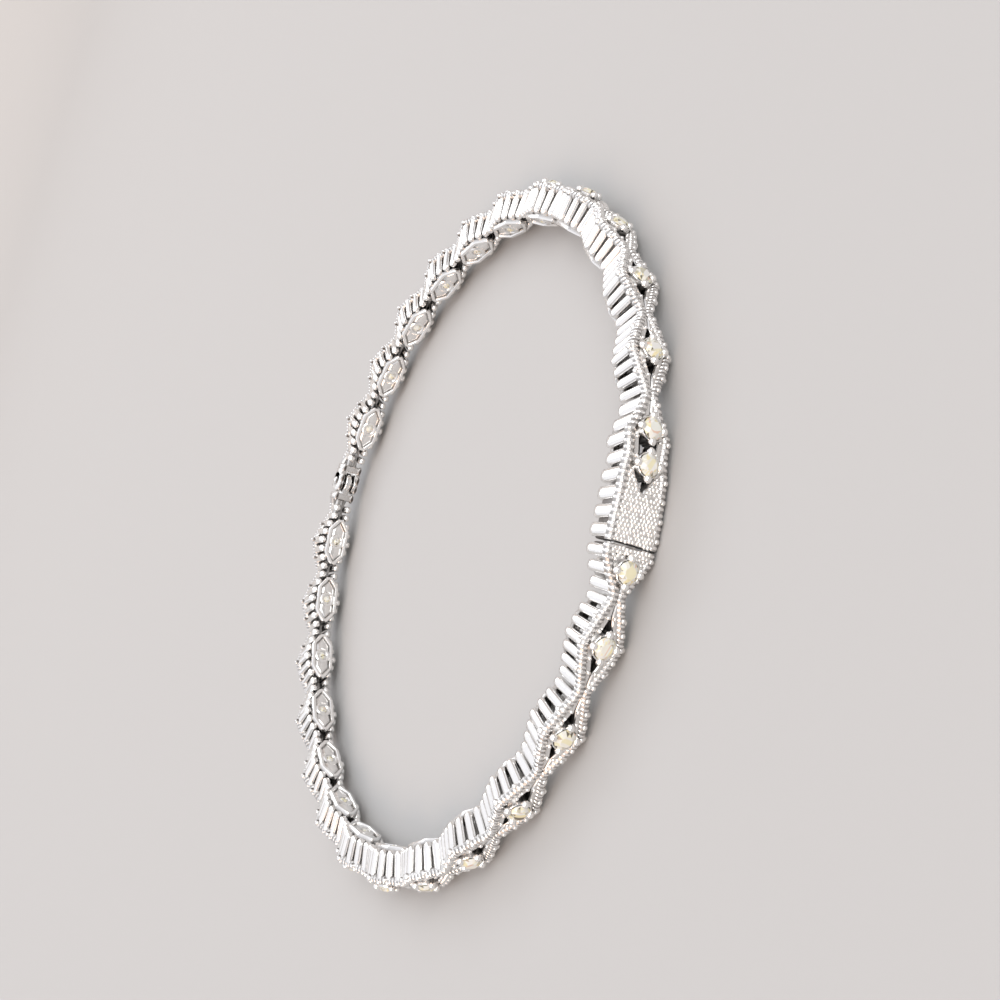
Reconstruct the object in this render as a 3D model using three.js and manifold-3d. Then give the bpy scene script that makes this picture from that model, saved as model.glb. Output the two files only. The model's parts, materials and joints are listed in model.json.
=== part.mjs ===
// A narrow hinged bangle, lying on its side: two soldered half hoops of openwork lozenge links with
// a row of round stones, joined by a hinge pin at the back and a box and tongue at the front.
// Millimetres, +Z up. The hoop's axis is Z, the clasp is at -Y and the hinge is at +Y.
import * as THREE from "three";
import { mergeVertices } from "three/addons/utils/BufferGeometryUtils.js";
import Module from "manifold-3d";

const wasm = await Module();
wasm.setup();

// ---- driving dimensions -------------------------------------------------------------------------
const halfLength = 29.0; // of the hoop's middle line, along X
const halfWidth = 27.8; // of the hoop's middle line, along Y

// Number of link lengths in each stretch, counted round the hoop.
const tongueLinks = 13; // whole links of the half with the tongue
const boxLinks = 11; // whole links of the half with the box
const endLink = 0.5; // the half link beside the seam
const claspLink = 1.56; // the clasp box and the long link beside it
const hingeLink = 1.0; // the hinge

// Places across the band, measured outwards from the middle line.
const faceOut = 1.6; // outer face of the lattice
const faceIn = 0.7; // its back
const wireTip = -1.05; // free inner ends of the edge wires
const frameOut = -1.15; // outer side of the back frames
const frameIn = -1.6; // inner face of the back frames

// Places up and down the band, measured from its middle plane.
const waist = 0.6; // half the band's height where two links meet
const corner = 1.7; // half its height at a link's corners
const claspHalf = 2.15; // half the height of the clasp box
const hingeHalf = 1.15; // half the height of the hinge
const stripHeight = 0.95; // of the metal along a link's sides
const wireHeight = 0.6; // of the edge wires
const wireInset = 0.05; // from the lattice's edge to the wires
const weld = 0.1; // how far a soldered part reaches into its neighbour
const past = 1; // how far a cut runs past the metal

const wirePairsPerLink = 3.5; // slats along one edge; each holds two wires
const slatShare = 0.8; // of a slat's spacing that is metal

const stoneRadius = 0.8;
const stoneGap = 0.25; // between a stone and its pocket
const stoneSides = 8;
const pocketFloor = 0.85;
const stoneSeat = 0.25; // from the pocket's floor to the stone's point
const stonePoint = 0.7; // depth of the stone below its girdle, as a share of its radius
const stoneCrown = 0.38; // height above the girdle, as a share of its radius
const stoneTable = 0.55; // radius of the flat top, as a share of its radius
const colletRadius = 0.7; // of the tube under a stone
const colletBore = 0.4;
const colletSides = 6;
const bridge = { s: 0.85, z: 1.0, r: [0.45, 0.95] }; // half sizes, and depth, of the floor under a stone

const frameHalf = 2.5; // half the length of a back frame
const frameShoulder = 1.2; // from its centre to where it starts to narrow
const frameHeight = 0.9; // half its height
const frameEnd = 0.3; // half its height at the ends
const longFrameExtra = 0.6; // added to half the length, under the two stones of the long link

const seamGap = 0.3; // between the two halves
const plate = 0.7; // thickness of the closing plates
const boxLength = 3.0; // of the clasp box
const tongueLength = 2.3;
const tongueHalf = { r: 0.45, z: 1.0 };
const tongueRoom = 0.35; // round the tongue, in the box
const longLinkOutline = [[boxLength + 0.3, 2.05], [5.9, 1.8], [7.4, 1.95]]; // place along it, half the height
const endStone = 1.65; // from the seam to the stone of the half link
const longLinkStones = [5.3, 7.75]; // from the seam to the two stones of the long link

const knuckleRadius = 1.15;
const knuckleHalf = 0.35; // half the height of the middle knuckle
const knuckleGap = 0.25;
const knuckleCentre = 0.25; // of the hinge's axis, outwards from the middle line
const pinRadius = 0.35;
const pinGap = 0.3;
const armHalf = 1.05; // half the depth of the arms that carry the knuckles
const plateClear = 0.3; // from a knuckle to the closing plate of the other half
const neck = { r: [faceIn - 0.6, faceOut - 0.1], lap: 0.4 }; // from the last waist to the closing plate
const roundSides = 12;

// ---- the hoop's middle line ---------------------------------------------------------------------
// A distance s runs along it from the seam at -Y: positive towards -X, negative towards +X.
const steps = 1440; // short straight pieces that its length is summed over
const lineAt = (turn) => new THREE.Vector2(-halfLength * Math.sin(turn), -halfWidth * Math.cos(turn));
const lengths = [0];
for (let i = 1; i <= steps; i++) {
  const turn = (2 * Math.PI * i) / steps;
  const before = lineAt(turn - (2 * Math.PI) / steps);
  lengths.push(lengths[i - 1] + lineAt(turn).distanceTo(before));
}
const hoopLength = lengths[steps];
const linkLength = hoopLength / (tongueLinks + boxLinks + endLink + claspLink + hingeLink);

function turnAt(s) {
  const distance = THREE.MathUtils.euclideanModulo(s, hoopLength);
  const i = Math.min(lengths.findIndex((length) => length > distance), steps);
  const part = (distance - lengths[i - 1]) / (lengths[i] - lengths[i - 1]);
  return (2 * Math.PI * (i - 1 + part)) / steps;
}

// The frame at s: the point on the line, the way along it, and the way outwards.
function frameAt(s) {
  const turn = turnAt(s);
  const along = new THREE.Vector3(-halfLength * Math.cos(turn), halfWidth * Math.sin(turn), 0).normalize();
  const out = new THREE.Vector3(-along.y, along.x, 0);
  const point = lineAt(turn);
  return { point: new THREE.Vector3(point.x, point.y, 0), along, out };
}

function place(s, r, z) {
  const { point, out } = frameAt(s);
  return point.addScaledVector(out, r).setZ(z);
}

// ---- solids -------------------------------------------------------------------------------------
function toSolid(geometry) {
  geometry.deleteAttribute("normal");
  geometry.deleteAttribute("uv");
  const merged = mergeVertices(geometry, 1e-5);
  return new wasm.Manifold(
    new wasm.Mesh({
      numProp: 3,
      vertProperties: merged.attributes.position.array,
      triVerts: new Uint32Array(merged.index.array),
    }),
  );
}

function toGeometry(solid) {
  const mesh = solid.getMesh();
  const geometry = new THREE.BufferGeometry();
  geometry.setAttribute("position", new THREE.BufferAttribute(mesh.vertProperties, 3));
  geometry.setIndex(new THREE.BufferAttribute(mesh.triVerts, 1));
  const flat = geometry.toNonIndexed();
  flat.computeVertexNormals();
  return flat;
}

const up = new THREE.Vector3(0, 0, 1);
const joined = (solids) => solids.reduce((whole, solid) => whole.add(solid));

// A bar bent along the hoop. Each station is { s, r: [inner, outer], z: [lower, upper] }.
function bar(stations) {
  const ordered = [...stations].sort((a, b) => a.s - b.s);
  const points = ordered.flatMap(({ s, r, z }) => [
    place(s, r[0], z[0]),
    place(s, r[1], z[0]),
    place(s, r[1], z[1]),
    place(s, r[0], z[1]),
  ]);
  const faces = [];
  const quad = (a, b, c, d) => faces.push(a, b, c, a, c, d);
  ordered.slice(1).forEach((_, i) => {
    for (let side = 0; side < 4; side++) {
      const next = (side + 1) % 4;
      quad(4 * i + side, 4 * i + next, 4 * i + 4 + next, 4 * i + 4 + side);
    }
  });
  const last = points.length - 4;
  quad(3, 2, 1, 0);
  quad(last, last + 1, last + 2, last + 3);
  const geometry = new THREE.BufferGeometry().setFromPoints(points);
  geometry.setIndex(faces);
  return toSolid(geometry);
}

const block = (sFrom, sTo, r, z) => bar([{ s: sFrom, r, z }, { s: sTo, r, z }]);
const lowToHigh = (a, b) => [Math.min(a, b), Math.max(a, b)];

// A post whose axis runs outwards through the band at s.
function crossPost(s, radius, rFrom, rTo, sides) {
  const geometry = new THREE.CylinderGeometry(radius, radius, rTo - rFrom, sides);
  geometry.rotateY(Math.PI / sides);
  const { along, out } = frameAt(s);
  const middle = place(s, (rFrom + rTo) / 2, 0);
  geometry.applyMatrix4(new THREE.Matrix4().makeBasis(along, out, up).setPosition(middle));
  return toSolid(geometry);
}

// A post whose axis is parallel to Z, at the hinge.
function uprightPost(radius, zFrom, zTo) {
  const geometry = new THREE.CylinderGeometry(radius, radius, zTo - zFrom, roundSides);
  geometry.rotateX(Math.PI / 2);
  geometry.translate(hingeAt.x, hingeAt.y, (zFrom + zTo) / 2);
  return geometry;
}

// ---- the two halves, as places along the hoop ---------------------------------------------------
const hingeS = (endLink + tongueLinks + hingeLink / 2) * linkLength;
const hingeAt = place(hingeS, knuckleCentre, 0);
const hingeReach = knuckleRadius + plateClear; // from the hinge's axis to the nearer side of a plate
const claspEnd = claspLink * linkLength; // where the long link beside the clasp meets the next one

// The band's half height along each half, as corners of its outline: [distance from the seam, half height].
function outline(firstWaist, links, seamEnd) {
  const corners = [...seamEnd, [firstWaist, waist]];
  for (let i = 0; i < links; i++) {
    corners.push([firstWaist + (i + 0.5) * linkLength, corner]);
    corners.push([firstWaist + (i + 1) * linkLength, waist]);
  }
  return corners;
}

const tongueOutline = outline(endLink * linkLength, tongueLinks, [
  [seamGap / 2, claspHalf],
  [plate + seamGap, claspHalf],
]);
const boxOutline = outline(claspEnd, boxLinks, [[seamGap / 2, claspHalf], ...longLinkOutline]);

function halfHeightAt(corners, distance) {
  const next = corners.findIndex(([place]) => place > distance);
  const [fromPlace, fromHeight] = corners[next - 1];
  const [toPlace, toHeight] = corners[next];
  return THREE.MathUtils.mapLinear(distance, fromPlace, toPlace, fromHeight, toHeight);
}

// The centre of each whole link, as a distance from the seam.
const linkCentres = (firstWaist, links) =>
  Array.from({ length: links }, (_, i) => firstWaist + (i + 0.5) * linkLength);
const tongueCentres = linkCentres(endLink * linkLength, tongueLinks);
const boxCentres = linkCentres(claspEnd, boxLinks);
const linkFrame = (middle) => ({ middle, half: frameHalf });

const tongueSide = {
  way: 1,
  corners: tongueOutline,
  blockEnd: seamGap / 2 + plate,
  stones: [endStone, ...tongueCentres],
  frames: tongueCentres.map(linkFrame),
};
const boxSide = {
  way: -1,
  corners: boxOutline,
  blockEnd: boxLength,
  stones: [...longLinkStones, ...boxCentres],
  frames: [
    { middle: (longLinkStones[0] + longLinkStones[1]) / 2, half: frameHalf + longFrameExtra },
    ...boxCentres.map(linkFrame),
  ],
};

// One long side of the lattice: a strip that follows the outline, above (side 1) or below (side -1).
function sideStrip({ way, corners }, side) {
  const stations = corners.map(([distance, height]) => ({
    s: way * distance,
    r: [faceIn, faceOut],
    z: lowToHigh(side * height, side * (height - stripHeight)),
  }));
  return bar(stations);
}

// The comb of edge wires behind a strip, two wires to a slat, between the end block and the hinge.
function edgeSlats({ way, corners, blockEnd }, side) {
  const spacing = linkLength / wirePairsPerLink;
  const [lastWaist] = corners.at(-1);
  const count = Math.floor((lastWaist - blockEnd) / spacing);
  const r = [wireTip, faceIn + weld];
  return Array.from({ length: count }, (_, i) => {
    const middle = lastWaist - (i + 0.5) * spacing;
    const stations = [-0.5, 0.5].map((share) => {
      const distance = middle + share * slatShare * spacing;
      const edge = halfHeightAt(corners, distance) - wireInset;
      return { s: way * distance, r, z: lowToHigh(side * edge, side * (edge - wireHeight)) };
    });
    return bar(stations);
  });
}

// The six-sided frame on the wrist side of a link.
function backFrame(way, { middle, half }) {
  const shoulder = half - (frameHalf - frameShoulder);
  const rows = [
    [-half, frameEnd],
    [-shoulder, frameHeight],
    [shoulder, frameHeight],
    [half, frameEnd],
  ];
  return bar(rows.map(([offset, z]) => ({ s: way * (middle + offset), r: [frameIn, frameOut], z: [-z, z] })));
}

// The tube under a stone that carries the back frame.
function collet(way, distance) {
  const frameMiddle = (frameIn + frameOut) / 2;
  return crossPost(way * distance, colletRadius, frameMiddle, bridge.r[0] + 2 * weld, colletSides);
}

// The round seat that a stone sits in, and the bore of its tube, open at both ends.
function stonePocket(way, distance) {
  const pocket = crossPost(way * distance, stoneRadius + stoneGap, pocketFloor, faceOut + past, stoneSides);
  const bore = crossPost(way * distance, colletBore, frameIn - past, pocketFloor + weld, colletSides);
  return pocket.add(bore);
}

// The floor under a stone, which joins the two strips.
function stoneBridge(way, distance) {
  const { s, r, z } = bridge;
  return block(way * (distance - s), way * (distance + s), r, [-z, z]);
}

function latticeHalf(half) {
  const { way, stones, frames } = half;
  const metal = [sideStrip(half, 1), sideStrip(half, -1)];
  metal.push(...edgeSlats(half, 1), ...edgeSlats(half, -1));
  metal.push(...frames.map((frame) => backFrame(way, frame)));
  metal.push(...stones.flatMap((distance) => [collet(way, distance), stoneBridge(way, distance)]));
  return joined(metal);
}

// ---- the clasp ----------------------------------------------------------------------------------
const bandDepth = [frameIn + weld, faceOut];
const claspHeight = [-claspHalf, claspHalf];

function claspBox() {
  return block(-seamGap / 2, -boxLength, bandDepth, claspHeight);
}

function tongueRoomCut() {
  const { r, z } = tongueHalf;
  const deep = seamGap / 2 + tongueLength + tongueRoom;
  return block(past, -deep, [-r - tongueRoom, r + tongueRoom], [-z - tongueRoom, z + tongueRoom]);
}

function tongueAndPlate() {
  const { r, z } = tongueHalf;
  const closing = block(seamGap / 2, seamGap / 2 + plate, bandDepth, claspHeight);
  const tongue = block(seamGap / 2 - tongueLength, seamGap / 2 + plate / 2, [-r, r], [-z, z]);
  return closing.add(tongue);
}

// ---- the hinge ----------------------------------------------------------------------------------
// Each half ends in a plate, and arms run from the plate to its knuckles.
function hingeEnd(way, levels) {
  const waistS = hingeS - way * (hingeLink / 2) * linkLength;
  const plateS = hingeS - way * hingeReach;
  const parts = [
    block(plateS - way * plate, plateS, bandDepth, [-hingeHalf, hingeHalf]),
    block(waistS - way * neck.lap, plateS - (way * plate) / 2, neck.r, [-waist, waist]),
  ];
  const armDepth = [knuckleCentre - armHalf, knuckleCentre + armHalf];
  levels.forEach(([low, high]) => {
    parts.push(block(plateS - way * 2 * weld, hingeS, armDepth, [low, high]));
    parts.push(toSolid(uprightPost(knuckleRadius, low, high)));
  });
  return joined(parts);
}

const pinHole = () => toSolid(uprightPost(pinRadius + pinGap, -hingeHalf - past, hingeHalf + past));
const middleKnuckle = [[-knuckleHalf, knuckleHalf]];
const outerKnuckles = [
  [-hingeHalf, -knuckleHalf - knuckleGap],
  [knuckleHalf + knuckleGap, hingeHalf],
];

// ---- the pieces ---------------------------------------------------------------------------------
// One soldered half: its lattice with the clasp part and knuckles, and everything that is cut from it.
function halfSolid(half, claspPart, levels, cuts) {
  const metal = joined([latticeHalf(half), claspPart, hingeEnd(half.way, levels)]);
  const pockets = half.stones.map((distance) => stonePocket(half.way, distance));
  return metal.subtract(joined([...pockets, pinHole(), ...cuts]));
}

const tongueHalfSolid = () => halfSolid(tongueSide, tongueAndPlate(), middleKnuckle, []);
const boxHalfSolid = () => halfSolid(boxSide, claspBox(), outerKnuckles, [tongueRoomCut()]);

// A round faceted stone, its axis along Y, its girdle at the origin.
function stoneGeometry() {
  const shares = [
    [0, -stonePoint],
    [1, 0],
    [stoneTable, stoneCrown],
    [0, stoneCrown],
  ];
  const profile = shares.map(([x, y]) => new THREE.Vector2(x * stoneRadius, y * stoneRadius));
  return toGeometry(toSolid(new THREE.LatheGeometry(profile, stoneSides)));
}

const silver = new THREE.MeshStandardMaterial({ color: 0xe9e9e6, roughness: 0.22, metalness: 1 });
const clear = new THREE.MeshStandardMaterial({ color: 0xf4f7fa, roughness: 0.03, metalness: 0 });

function named(name, geometry, material) {
  const mesh = new THREE.Mesh(geometry, material);
  mesh.name = name;
  return mesh;
}

const bangle = new THREE.Group();
bangle.position.z = claspHalf; // the clasp box rests on Z = 0
bangle.add(named("tongue_half", toGeometry(tongueHalfSolid()), silver));
bangle.add(named("box_half", toGeometry(boxHalfSolid()), silver));
bangle.add(named("hinge_pin", uprightPost(pinRadius, -hingeHalf, hingeHalf), silver));

// Stones are numbered from the seam round each half, the tongue half's first.
const girdle = pocketFloor + stoneSeat + stonePoint * stoneRadius;
const placesOf = ({ way, stones }) => stones.map((distance) => way * distance);
const stonePlaces = [...placesOf(tongueSide), ...placesOf(boxSide)];
stonePlaces.forEach((s, i) => {
  const stone = named(`stone_${String(i + 1).padStart(2, "0")}`, stoneGeometry(), clear);
  const { along, out } = frameAt(s);
  stone.position.copy(place(s, girdle, 0));
  stone.quaternion.setFromRotationMatrix(new THREE.Matrix4().makeBasis(along, out, up));
  bangle.add(stone);
});

const part = new THREE.Group();
part.add(bangle);
export default part;
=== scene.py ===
"""The looks of a narrow hinged bangle of openwork lozenge links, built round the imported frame.

The bangle lies on its side. Blender works in metres. Sizes here are in millimetres, and are turned into
metres where points are placed.
"""

import json
import math

import bmesh
import bpy
import numpy as np
from mathutils import Matrix, Vector


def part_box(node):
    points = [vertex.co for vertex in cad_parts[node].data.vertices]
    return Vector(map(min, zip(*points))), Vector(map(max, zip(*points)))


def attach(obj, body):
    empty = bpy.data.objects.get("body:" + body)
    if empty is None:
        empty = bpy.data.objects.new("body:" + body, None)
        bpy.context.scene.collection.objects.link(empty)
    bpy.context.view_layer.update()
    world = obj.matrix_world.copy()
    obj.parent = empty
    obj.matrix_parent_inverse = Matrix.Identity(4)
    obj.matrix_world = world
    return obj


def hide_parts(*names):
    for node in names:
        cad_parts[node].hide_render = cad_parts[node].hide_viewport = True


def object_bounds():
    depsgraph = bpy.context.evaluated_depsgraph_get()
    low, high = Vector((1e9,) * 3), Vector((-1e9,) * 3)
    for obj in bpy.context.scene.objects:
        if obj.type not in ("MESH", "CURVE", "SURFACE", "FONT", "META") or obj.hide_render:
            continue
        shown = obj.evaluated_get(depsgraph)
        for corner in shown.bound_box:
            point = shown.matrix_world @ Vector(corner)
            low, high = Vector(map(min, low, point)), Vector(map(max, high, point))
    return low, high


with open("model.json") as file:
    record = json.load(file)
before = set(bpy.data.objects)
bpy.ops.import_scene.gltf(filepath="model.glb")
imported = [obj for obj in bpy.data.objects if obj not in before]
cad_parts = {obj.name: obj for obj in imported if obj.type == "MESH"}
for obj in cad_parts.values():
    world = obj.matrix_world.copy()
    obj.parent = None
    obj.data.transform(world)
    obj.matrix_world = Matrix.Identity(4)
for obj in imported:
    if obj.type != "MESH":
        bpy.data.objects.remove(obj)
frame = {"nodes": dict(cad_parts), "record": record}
cad_low, cad_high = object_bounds()

MM = 0.001

# ---- sizes of the hoop, in mm ----
HALF_LENGTH = 29.0  # of the hoop's middle line, along X
HALF_WIDTH = 27.8  # of the hoop's middle line, along Y
MIDDLE = (cad_low.z + cad_high.z) / 2 / MM  # height of the band's middle plane

# Places across the band, outwards from the middle line.
CORD_MIDDLE = 1.0
FACE = 1.42
WIRE_TIP = -1.38
WIRE_ROOT = 0.95
FRAME_BACK = -1.25
FRAME_FACE = -1.72
GIRDLE = 1.62
SHEET = (-0.65, 0.95)  # of the sheet behind the edge wires, painted grey as shade

# Places up and down the band, from its middle plane.
WAIST = 0.66
CORNER = 1.78
HINGE_HALF = 1.1  # half the height of the hinge
CORD = {"across": 0.42, "high": 0.43, "core": 0.84}  # half sizes of the ridged cord along an edge
SHEET_DEPTH = 0.84  # from the band's edge
SHEET_WALL = 0.08
INNER_STRIP = {"edge": 0.7, "width": 0.44, "back": 0.45, "face": 1.2, "bevel": 0.08}
STRIP_CLOSES = 1.3  # length over which the strips draw together towards the clasp
STRIP_GRAIN = 0.17
STATION = 0.3  # along the band, between the rings of a bar, sheet or strip
LAP = 0.1  # how far these reach into the clasp and the hinge plate

WIRES_PER_LINK = 7
RIDGES_PER_WIRE = 3
RIDGE_WIDTH = 1.12  # as a share of its room along the cord
WIRE_THICKNESS = 0.72
WIRE_HEIGHT = 0.66
WIRE_SPLAY = 0.35  # how much further from the middle plane a wire's tip is than its root, at a waist
HEAD = {"radius": 0.23, "out": 0.22, "up": 0.13}  # of the bead over a wire's root, from the cord's middle
# Beads at a link's corner: share of the link from its centre, depth in from the band's edge, radius.
EDGE_BEADS = [(0.0, 0.12, 0.28), (-0.27, 0.05, 0.22), (0.27, 0.05, 0.22)]
STONE_RADIUS = 0.8
PRONG_REACH = 0.9
PRONG_RADIUS = 0.31
PRONG_OUT = 1.59

SEAM_GAP = 0.16
PLATE = 0.7
BOX_LENGTH = 3.5
TONGUE = {"length": 2.3, "r": 0.38, "z": 1.0}
TONGUE_ROOM = {"r": 0.35, "z": 0.15, "end": 0.35}
KNUCKLE = {"radius": 1.1, "half": 0.35, "gap": 0.2, "arm": 0.8, "clear": 0.13}

# Half the band's height across a link: share of the link's length from its centre, share of the rise.
LINK_OUTLINE = [(0.0, 1.0), (0.06, 0.95), (0.25, 0.56), (0.5, 0.0)]
# The same beside the clasp: distance from the seam, half height.
CLASP_OUTLINE = {
    "tongue_half": [(0.0, 2.08), (0.9, 2.02), (2.0, 1.42), (2.9, 0.82)],
    "box_half": [(0.0, 2.1), (1.0, 2.12), (3.1, 2.04), (4.7, 2.0), (5.9, 1.78), (7.4, 1.92), (8.8, 1.2)],
}
# The same beside the hinge: distance past the near side of its plate, half height.
HINGE_OUTLINE = [(-0.15, 0.95), (0.4, HINGE_HALF)]


# ---- the hoop's middle line ----
class Hoop:
    """The middle line. s runs along it from the seam at -Y: positive towards -X, negative towards +X."""

    def __init__(self, half_length, half_width, middle, steps=5760):
        self.half = np.array([half_length, half_width])
        self.middle = middle
        self.turns = np.linspace(0, 2 * math.pi, steps + 1)
        self.line = self.point(self.turns)
        pieces = np.linalg.norm(np.diff(self.line, axis=0), axis=1)
        self.lengths = np.concatenate([[0.0], np.cumsum(pieces)])

    def point(self, turn):
        return np.stack([-self.half[0] * np.sin(turn), -self.half[1] * np.cos(turn)], -1)

    def axes(self, s):
        """The point on the line, and the ways along it and outwards."""
        turn = np.interp(np.mod(s, self.lengths[-1]), self.lengths, self.turns)
        along = np.stack([-self.half[0] * np.cos(turn), self.half[1] * np.sin(turn)], -1)
        along /= np.linalg.norm(along, axis=-1, keepdims=True)
        out = np.stack([-along[..., 1], along[..., 0]], -1)
        return self.point(turn), along, out

    def place(self, points):
        """Points given as (s, outwards, up), in mm, bent round the hoop, in metres."""
        points = np.asarray(points, float)
        point, _, out = self.axes(points[..., 0])
        flat = point + out * points[..., 1:2]
        return np.concatenate([flat, points[..., 2:3] + self.middle], -1) * MM

    def turn_at(self, s):
        """The angle about Z that takes X along the hoop and Y outwards."""
        _, along, _ = self.axes(np.asarray(s, float))
        return math.atan2(along[1], along[0])

    def nearest_way(self, point, way):
        """Distance along the line to the place nearest to a point, going one way round from the seam."""
        s = self.nearest(point) * way
        return s if s > 0 else s + self.lengths[-1]

    def nearest(self, point):
        """s of the place on the line nearest to a point of the frame."""
        away = np.linalg.norm(self.line * MM - np.array([point.x, point.y]), axis=1)
        s = self.lengths[int(np.argmin(away))]
        return s if s < self.lengths[-1] / 2 else s - self.lengths[-1]


hoop = Hoop(HALF_LENGTH, HALF_WIDTH, MIDDLE)
pin_low, pin_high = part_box("hinge_pin")
HINGE = (pin_low + pin_high) / 2


class Half:
    """One soldered half: which way it runs from the seam, its stones, links and outline.

    block_end is where its part of the clasp ends, and block_start where its hinge plate begins, both as
    distances from the seam. Its first few stones, loose_stones of them, have no link of their own, and
    lead_wires is how many edge wires it has before its first full link.
    """

    def __init__(self, body, way, loose_stones, block_end, lead_wires):
        self.body, self.way, self.block_end, self.lead_wires = body, way, block_end, lead_wires
        members = frame["record"]["behaviour"]["bodies"][body]
        self.stone_nodes = [node for node in members if node.startswith("stone_")]
        middles = [(low + high) / 2 for low, high in map(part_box, self.stone_nodes)]
        self.stones = sorted(self.distance(middle) for middle in middles)
        self.centres = self.stones[loose_stones:]
        self.pitch = (self.centres[-1] - self.centres[0]) / (len(self.centres) - 1)
        self.first_waist = self.centres[0] - self.pitch / 2
        self.last_waist = self.centres[-1] + self.pitch / 2
        self.block_start = self.distance(HINGE) - KNUCKLE["radius"] - KNUCKLE["clear"] - PLATE
        self.corners = CLASP_OUTLINE[body] + self.link_outline()

    def distance(self, point):
        """How far along the band from the seam a point of the frame is, going this half's way."""
        return hoop.nearest_way(point, self.way)

    def link_outline(self):
        """Half heights along the links and on to the hinge."""
        rise = CORNER - WAIST
        corners = []
        for centre in self.centres:
            across = [(-share, part) for share, part in LINK_OUTLINE[::-1]] + LINK_OUTLINE[1:]
            corners += [(centre + share * self.pitch, WAIST + rise * part) for share, part in across]
        return corners + [(self.block_start + past, height) for past, height in HINGE_OUTLINE]

    def height(self, distance):
        """Half the band's height at a distance from the seam."""
        places, heights = zip(*self.corners)
        return np.interp(distance, places, heights)

    def opening(self, distance):
        """Half the height of the opening between the inner strips, which ends in a point at the clasp."""
        full = self.height(distance) - INNER_STRIP["edge"] - INNER_STRIP["width"]
        return full * min(max((distance - self.block_end) / STRIP_CLOSES, 0.0), 1.0)

    def wires(self):
        """The edge wires, each as (distance from the seam, room it has along the band)."""
        spacing = self.pitch / WIRES_PER_LINK
        lead = (self.first_waist - SEAM_GAP / 2) / self.lead_wires
        wires = [(SEAM_GAP / 2 + (i + 0.5) * lead, lead) for i in range(self.lead_wires)]
        clear = 0.1  # between the last wire's room and the hinge plate
        count = int((self.block_start - self.first_waist - clear) / spacing + 0.5)
        return wires + [(self.first_waist + (i + 0.5) * spacing, spacing) for i in range(count)]


TONGUE_HALF = Half("tongue_half", 1, 1, SEAM_GAP / 2 + PLATE, lead_wires=3)
BOX_HALF = Half("box_half", -1, 2, BOX_LENGTH, lead_wires=8)
HALVES = [TONGUE_HALF, BOX_HALF]


# ---- meshes ----
class Shape:
    """Points and faces of one mesh, in metres, and how much painted shade each point has, from 0 to 1."""

    def __init__(self, place=None):
        self.place = place or (lambda points: np.asarray(points, float) * MM)
        self.points, self.faces, self.tarnish = [], [], []

    def add(self, points, faces, tarnish=0.0):
        """Takes in points, which the shape places, and faces that count from the first of them."""
        first = len(self.points)
        placed = self.place(np.asarray(points, float).reshape(-1, 3))
        self.points += placed.tolist()
        self.tarnish += np.broadcast_to(np.asarray(tarnish, float).reshape(-1), len(placed)).tolist()
        self.faces += [tuple(first + i for i in face) for face in faces]

    def loft(self, rings, tarnish=0.0, closed=False):
        """Joins rings of points, each listed anticlockwise as seen from the last ring."""
        rings = np.asarray(rings, float)
        rows, around = rings.shape[:2]
        faces = []
        for row in range(rows if closed else rows - 1):
            a, b = row * around, (row + 1) % rows * around
            faces += [(a + i, a + (i + 1) % around, b + (i + 1) % around, b + i) for i in range(around)]
        if not closed:
            faces.append(tuple(range(around))[::-1])
            faces.append(tuple(range((rows - 1) * around, rows * around)))
        shade = np.asarray(tarnish, float)
        if shade.size == around:
            shade = np.tile(shade, rows)
        elif shade.size == rows:
            shade = np.repeat(shade, around)
        self.add(rings, faces, shade)

    def turned(self, profile, sides, tarnish=0.0, closed=False, axis="y"):
        """Turns a profile of (radius, height) about the Y or Z axis."""
        angle = np.linspace(0, 2 * math.pi, sides, endpoint=False)
        rings = []
        for radius, height in profile:
            level = np.full(sides, float(height))
            columns = {
                "y": [radius * np.sin(angle), level, radius * np.cos(angle)],
                "z": [radius * np.cos(angle), radius * np.sin(angle), level],
            }[axis]
            rings.append(np.stack(columns, -1))
        self.loft(rings, tarnish, closed)

    def join(self, other, offset):
        """Takes in another shape's points and faces as they are placed, moved by an offset in metres."""
        first = len(self.points)
        self.points += (np.array(other.points) + offset).tolist()
        self.faces += [tuple(first + i for i in face) for face in other.faces]
        self.tarnish += other.tarnish

    def mesh(self, name, smooth=35.0):
        """A Blender mesh, smooth but for the edges that turn by more than some degrees."""
        mesh = bpy.data.meshes.new(name)
        mesh.from_pydata(self.points, [], self.faces)
        # Painted shade: each point's grey, standing in for shade in hollows and between parts.
        layer = mesh.attributes.new("tarnish", "FLOAT", "POINT")
        layer.data.foreach_set("value", np.array(self.tarnish, np.float32))
        mesh.shade_smooth()
        if smooth:
            mesh.set_sharp_from_angle(angle=math.radians(smooth))
        return mesh


RING = 16  # points round a block, a quarter of them at each corner
BLOCK_STEP = 0.5  # between a block's rings


def rounded_ring(r, z, edge):
    """A rectangle with round corners, as (outwards, up), anticlockwise."""
    points = []
    corners = [(r[1] - edge, z[0] + edge, -90), (r[1] - edge, z[1] - edge, 0)]
    corners += [(r[0] + edge, z[1] - edge, 90), (r[0] + edge, z[0] + edge, 180)]
    for corner_r, corner_z, start in corners:
        for angle in np.radians(np.linspace(start, start + 90, RING // 4)):
            points.append((corner_r + edge * math.cos(angle), corner_z + edge * math.sin(angle)))
    return np.array(points)


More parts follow.
